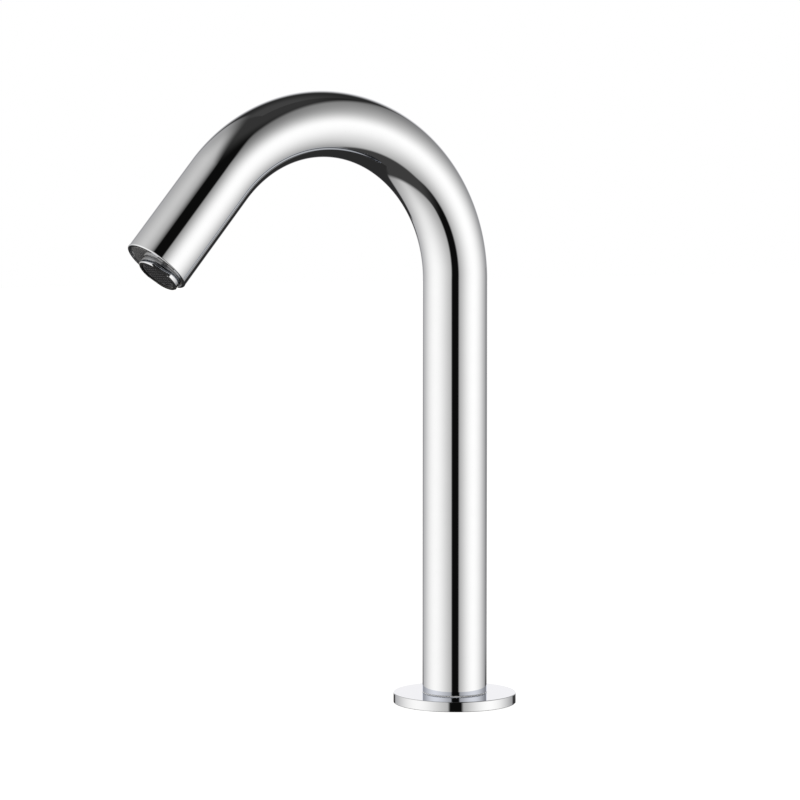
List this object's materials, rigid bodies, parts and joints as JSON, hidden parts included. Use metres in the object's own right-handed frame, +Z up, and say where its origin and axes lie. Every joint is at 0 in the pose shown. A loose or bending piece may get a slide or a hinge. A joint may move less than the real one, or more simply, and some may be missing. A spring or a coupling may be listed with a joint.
{
  "type": "sensor tap",
  "caption": "Deck-mounted sensor tap: bent tube spout on a round flange, aerator beside an infrared eye in its mouth, and a threaded shank, washers and nut below.",
  "frame": {"origin": "centre of the flange's underside, in the plane of the worktop's surface and on the column's axis", "axes": "+Z up along the column; the spout reaches towards -Y, the user's side; X is across the tap"},
  "size_m": [0.061, 0.2086, 0.3639],
  "materials": {
    "polished_chrome": "mirror polished, chrome plated brass tube and flange",
    "aerator_chrome": "chrome plated brass",
    "seal_rubber": "moulded nitrile rubber",
    "washer_rubber": "soft black rubber, matt",
    "regulator_rubber": "red silicone ring",
    "turned_brass": "turned brass with tool marks",
    "nut_brass": "milled hexagon brass",
    "block_brass": "turned brass",
    "zinc_steel": "zinc plated, stamped",
    "spring_steel": "blued spring steel",
    "ferrule_steel": "pressed stainless steel",
    "hose_plastic": "cross-linked polyethylene",
    "lead_sheath": "black sheath",
    "socket_plastic": "moulded black plastic",
    "window_plastic": "infrared-clear smoked plastic",
    "pod_plastic": "moulded black plastic",
    "eye_clear": "clear lens",
    "eye_dark": "daylight-filter lens",
    "board_laminate": "glass laminate",
    "potting_resin": "cast resin",
    "strainer_plastic": "white moulded plastic",
    "insert_plastic": "moulded plastic",
    "grid_plastic": "dark moulded plastic"
  },
  "bodies": {
    "spout": {"spout_tube": "polished_chrome", "flange": "polished_chrome", "deck_seal": "seal_rubber", "column_seal": "seal_rubber", "shank": "turned_brass", "inlet_body": "turned_brass", "retaining_ring": "spring_steel", "water_hose": "hose_plastic", "inlet_ferrule": "ferrule_steel", "nose_ferrule": "ferrule_steel", "sensor_lead": "lead_sheath", "lead_socket": "socket_plastic", "outlet_block": "block_brass", "block_o_ring": "seal_rubber", "sensor_window": "window_plastic", "sensor_gasket": "seal_rubber", "sensor_pod": "pod_plastic", "ir_emitter": "eye_clear", "ir_receiver": "eye_dark", "sensor_board": "board_laminate", "sensor_potting": "potting_resin", "lead_boot": "lead_sheath"},
    "aerator_insert": {"aerator_washer": "seal_rubber", "aerator_strainer": "strainer_plastic", "aerator_regulator": "insert_plastic", "regulator_ring": "regulator_rubber", "aerator_jet_plate": "insert_plastic", "aerator_grid": "grid_plastic"},
    "aerator_shell": {"aerator_housing": "aerator_chrome"},
    "clamp_washers": {"rubber_washer": "washer_rubber", "steel_washer": "zinc_steel"},
    "clamp_nut": {"lock_nut": "nut_brass"}
  },
  "joints": [
    {"name": "aerator_travel", "type": "slide", "parent": "spout", "child": "aerator_insert", "axis": [0, -0.6428, -0.766], "range_m": [0, 0.0066]},
    {"name": "aerator_turn", "type": "hinge", "parent": "aerator_insert", "child": "aerator_shell", "pos_m": [0, -0.16353, 0.21628], "axis": [0, -0.6428, -0.766], "range_deg": [0, 2340]},
    {"name": "nut_travel", "type": "slide", "parent": "spout", "child": "clamp_washers", "axis": [0, 0, 1], "range_m": [-0.0201, 0.0151]},
    {"name": "nut_turn", "type": "hinge", "parent": "clamp_washers", "child": "clamp_nut", "pos_m": [0, 0, -0.029], "axis": [0, 0, 1], "range_deg": [-4800, 3600]}
  ],
  "couplings": [
    {"joint": "aerator_travel", "follows": "aerator_turn", "m_per_rad": 0.00015915},
    {"joint": "nut_travel", "follows": "nut_turn", "m_per_rad": 0.00023873}
  ]
}
